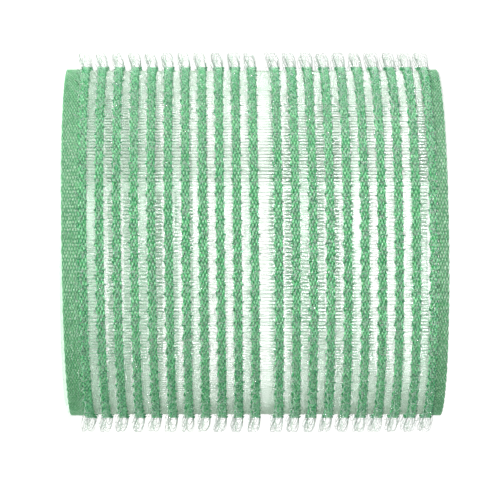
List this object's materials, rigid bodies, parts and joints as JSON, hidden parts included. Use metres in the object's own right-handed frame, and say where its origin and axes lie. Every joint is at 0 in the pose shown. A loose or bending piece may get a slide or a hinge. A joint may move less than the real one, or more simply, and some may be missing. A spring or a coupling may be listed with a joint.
{
  "type": "hair roller",
  "caption": "Self-grip hair roller: a slotted plastic core tube wrapped in woven hook tape, with rows of yarn and fine hooks round it.",
  "frame": {"origin": "centre of the lower end face, on the tube's axis", "axes": "+Z along the tube's axis, up from the lower end; +X and +Y are square to it, with the lap of the tape on the +Y side"},
  "size_m": [0.0612, 0.0612, 0.06],
  "materials": {
    "core_plastic": "translucent moulded",
    "weft_filament": "clear filament weave",
    "selvage_weave": "close plain weave",
    "yarn": "crimped yarn",
    "hook_filament": "clear filament",
    "glue": "set hot-melt film"
  },
  "bodies": {
    "root": {"core_tube": "core_plastic", "ground_cloth": "weft_filament", "selvage_lower": "selvage_weave", "selvage_upper": "selvage_weave", "yarn_row_01": "yarn", "yarn_row_02": "yarn", "yarn_row_03": "yarn", "yarn_row_04": "yarn", "yarn_row_05": "yarn", "yarn_row_06": "yarn", "yarn_row_07": "yarn", "yarn_row_08": "yarn", "yarn_row_09": "yarn", "yarn_row_10": "yarn", "yarn_row_11": "yarn", "yarn_row_12": "yarn", "yarn_row_13": "yarn", "yarn_row_14": "yarn", "yarn_row_15": "yarn", "yarn_row_16": "yarn", "yarn_row_17": "yarn", "yarn_row_18": "yarn", "yarn_row_19": "yarn", "yarn_row_20": "yarn", "yarn_row_21": "yarn", "hook_row_01": "hook_filament", "hook_row_02": "hook_filament", "hook_row_03": "hook_filament", "hook_row_04": "hook_filament", "hook_row_05": "hook_filament", "hook_row_06": "hook_filament", "hook_row_07": "hook_filament", "hook_row_08": "hook_filament", "hook_row_09": "hook_filament", "hook_row_10": "hook_filament", "hook_row_11": "hook_filament", "hook_row_12": "hook_filament", "hook_row_13": "hook_filament", "hook_row_14": "hook_filament", "hook_row_15": "hook_filament", "hook_row_16": "hook_filament", "hook_row_17": "hook_filament", "hook_row_18": "hook_filament", "hook_row_19": "hook_filament", "hook_row_20": "hook_filament", "hook_row_21": "hook_filament", "lap_glue": "glue", "lap_flap": "yarn", "lap_hooks": "hook_filament"}
  },
  "joints": []
}
